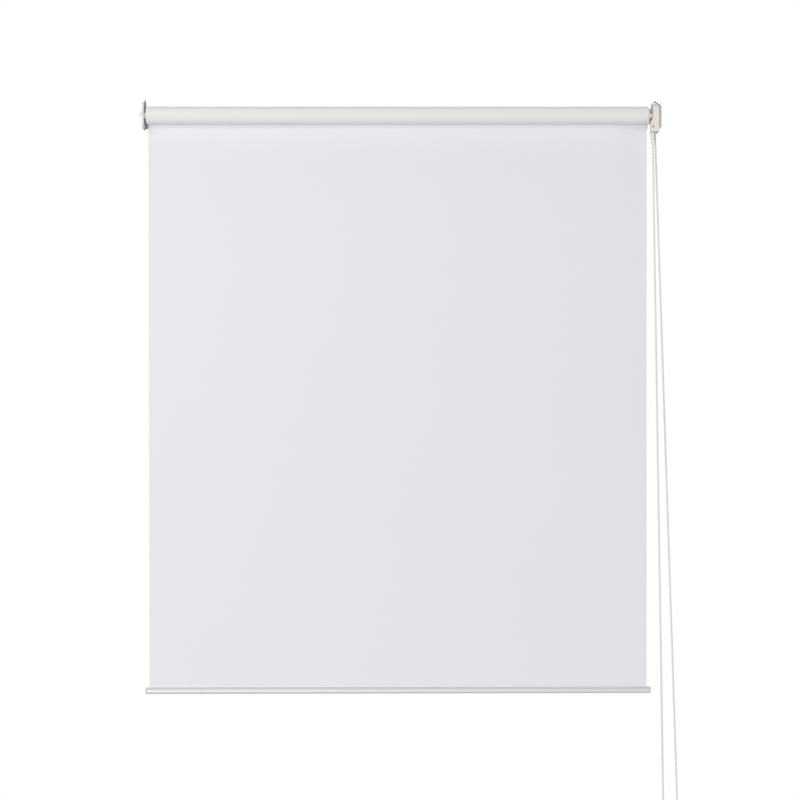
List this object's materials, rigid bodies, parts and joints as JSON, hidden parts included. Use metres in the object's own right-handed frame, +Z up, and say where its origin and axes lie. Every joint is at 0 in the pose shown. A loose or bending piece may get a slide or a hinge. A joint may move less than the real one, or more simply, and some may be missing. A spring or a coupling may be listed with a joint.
{
  "type": "roller blind",
  "caption": "Wall-hung roller blind: cloth on a tube between two brackets, side bead chain with a clutch, a smooth cloth panel, an oval bottom bar and a chain hold-down.",
  "frame": {"origin": "middle of the four wall screw holes, in the wall plane and level with the roller axis", "axes": "+X to the right along the roller, +Y into the wall away from the room, +Z up"},
  "size_m": [1.0999, 0.052, 1.456],
  "materials": {
    "bracket_steel": "zinc plated, satin",
    "spring_steel": "bright wire",
    "cover_plastic": "moulded, satin",
    "housing_plastic": "moulded, satin, warm cream",
    "white_plastic": "moulded, semi-gloss",
    "tube_metal": "mill finish",
    "bar_finish": "satin paint on extruded aluminium",
    "cloth_front": "smooth coated face, faintly bluish",
    "cloth_back": "smooth coated face, faintly warm",
    "chain_plastic": "moulded beads on a cord"
  },
  "bodies": {
    "frame": {"left_bracket": "bracket_steel", "left_cover": "cover_plastic", "pin_bush": "white_plastic", "right_bracket": "bracket_steel", "right_cover": "cover_plastic", "guard_back": "housing_plastic", "guard_front": "housing_plastic", "clutch_spindle": "white_plastic", "spindle_screw": "spring_steel", "bead_chain": "chain_plastic", "holddown_base": "white_plastic", "holddown_axle": "spring_steel", "holddown_cover": "white_plastic"},
    "bar": {"bottom_bar": "bar_finish", "bar_insert": "white_plastic", "bar_cap_left": "cover_plastic", "bar_cap_right": "cover_plastic", "fabric_panel": "cloth_front"},
    "roller": {"roller_tube": "tube_metal", "tube_spline": "white_plastic", "fabric_roll": "cloth_back", "drive_plug": "white_plastic", "wrap_springs": "spring_steel", "idle_plug": "white_plastic", "idle_spring": "spring_steel"},
    "pin": {"idle_pin": "white_plastic"},
    "chain_wheel": {"sprocket": "white_plastic"},
    "connector": {"chain_connector": "chain_plastic"},
    "pulley": {"holddown_pulley": "white_plastic"}
  },
  "joints": [
    {"name": "bar_lift", "type": "slide", "parent": "frame", "child": "bar", "axis": [0, 0, 1], "range_m": [0, 1.06], "deforming": ["fabric_panel"]},
    {"name": "roller_spin", "type": "hinge", "parent": "frame", "child": "roller", "pos_m": [0, -0.028, 0], "axis": [1, 0, 0], "range_deg": [0, 3415]},
    {"name": "wheel_spin", "type": "hinge", "parent": "frame", "child": "chain_wheel", "pos_m": [0.5135, -0.028, 0], "axis": [1, 0, 0], "range_deg": [0, 3415]},
    {"name": "pin_retract", "type": "slide", "parent": "roller", "child": "pin", "axis": [1, 0, 0], "range_m": [0, 0.008], "stiffness_N_per_m": 600, "springref_m": -0.01, "deforming": ["idle_spring"]},
    {"name": "connector_travel", "type": "slide", "parent": "frame", "child": "connector", "axis": [0.0193, 0.0228, -0.9996], "range_m": [0, 1.0245]},
    {"name": "pulley_spin", "type": "hinge", "parent": "frame", "child": "pulley", "pos_m": [0.5479, -0.014, -1.402], "axis": [0, -1, 0], "range_deg": [0, 4098]}
  ],
  "couplings": [
    {"joint": "roller_spin", "follows": "bar_lift", "rad_per_m": 56.18},
    {"joint": "wheel_spin", "follows": "bar_lift", "rad_per_m": 56.18},
    {"joint": "connector_travel", "follows": "bar_lift", "ratio": 0.96566},
    {"joint": "pulley_spin", "follows": "bar_lift", "rad_per_m": 67.416}
  ]
}
